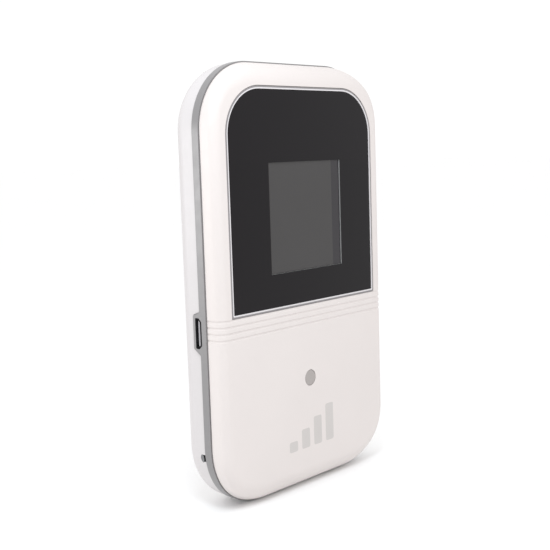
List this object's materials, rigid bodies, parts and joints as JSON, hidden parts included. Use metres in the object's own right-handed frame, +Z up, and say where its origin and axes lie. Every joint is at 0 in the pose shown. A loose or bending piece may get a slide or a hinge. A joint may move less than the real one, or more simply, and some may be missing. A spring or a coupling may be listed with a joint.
{
  "type": "mobile hotspot",
  "caption": "Pocket mobile hotspot: slim rounded case, small display under a black window, power button, charging socket, lift-off back over a removable battery and SIM card.",
  "frame": {"origin": "middle of the bottom edge that the case stands on", "axes": "+X to the right seen from the front, +Y from the front to the back, +Z up along the long side; the display faces -Y"},
  "size_m": [0.0606, 0.014, 0.104],
  "materials": {
    "white_shell": "satin white, fine moulded texture",
    "grey_band": "mid grey, satin",
    "dark_chassis": "dark grey, fine moulded texture",
    "black_window": "clear acrylic printed black on its back",
    "silver_trim": "silver paint on plastic",
    "display_glass": "dark grey display glass, off",
    "white_nylon": "moulded",
    "black_foam": "foam tape",
    "amber_flex": "polyimide film",
    "black_nylon": "moulded",
    "button_grey": "satin warm grey",
    "chip_black": "moulded epoxy",
    "steel": "plated",
    "tin_can": "tin plated sheet",
    "green_board": "solder mask on laminate",
    "grey_tongue": "light grey moulded liquid crystal polymer",
    "white_card": "blank printed card",
    "battery_wrap": "metal pouch in a dark wrap",
    "gold": "gold plated",
    "copper": "etched foil",
    "paper_label": "blank coated paper"
  },
  "bodies": {
    "case": {"front_shell": "white_shell", "window_lens": "black_window", "window_trim": "silver_trim", "lens_tape": "black_foam", "display_gasket": "black_foam", "display_panel": "display_glass", "display_tray": "white_nylon", "display_flex": "amber_flex", "display_socket": "black_nylon", "power_switch": "chip_black", "mid_band": "grey_band", "chassis": "dark_chassis", "chassis_screw_1": "steel", "chassis_screw_2": "steel", "chassis_screw_3": "steel", "chassis_screw_4": "steel", "main_board": "green_board", "modem_shield": "tin_can", "power_shield": "tin_can", "modem_chip": "chip_black", "memory_chip": "chip_black", "power_chip": "chip_black", "wifi_chip": "chip_black", "usb_shell": "steel", "usb_tongue": "grey_tongue", "sim_socket_base": "black_nylon", "sim_socket_shell": "tin_can", "battery_connector": "black_nylon", "battery_contact_1": "gold", "battery_contact_2": "gold", "battery_contact_3": "gold", "reset_switch": "chip_black", "antenna_main": "copper", "antenna_second": "copper", "antenna_wifi": "copper", "antenna_pin_main": "gold", "antenna_pin_second": "gold", "antenna_pin_wifi": "gold", "bay_label": "paper_label"},
    "back_cover": {"back_cover": "white_shell"},
    "battery": {"battery_cell": "battery_wrap", "battery_cap": "black_nylon", "battery_terminal_1": "gold", "battery_terminal_2": "gold", "battery_terminal_3": "gold"},
    "sim_card": {"sim_card": "white_card"},
    "power_button": {"power_button": "button_grey", "power_plunger": "steel"},
    "reset_plunger": {"reset_plunger": "black_nylon"}
  },
  "joints": [
    {"name": "back_cover_lift", "type": "slide", "parent": "case", "child": "back_cover", "axis": [0, 1, 0], "range_m": [0, 0.03]},
    {"name": "battery_lift", "type": "slide", "parent": "case", "child": "battery", "axis": [0, 1, 0], "range_m": [0, 0.015]},
    {"name": "sim_card_slide", "type": "slide", "parent": "case", "child": "sim_card", "axis": [0, 0, 1], "range_m": [0, 0.0165]},
    {"name": "power_button_press", "type": "slide", "parent": "case", "child": "power_button", "axis": [0, 1, 0], "range_m": [0, 0.00035], "stiffness_N_per_m": 150},
    {"name": "reset_press", "type": "slide", "parent": "case", "child": "reset_plunger", "axis": [0, -1, 0], "range_m": [0, 0.00025], "stiffness_N_per_m": 100}
  ],
  "couplings": [
    {"joint": "battery_lift", "follows": "back_cover_lift", "ratio": 0.5}
  ]
}
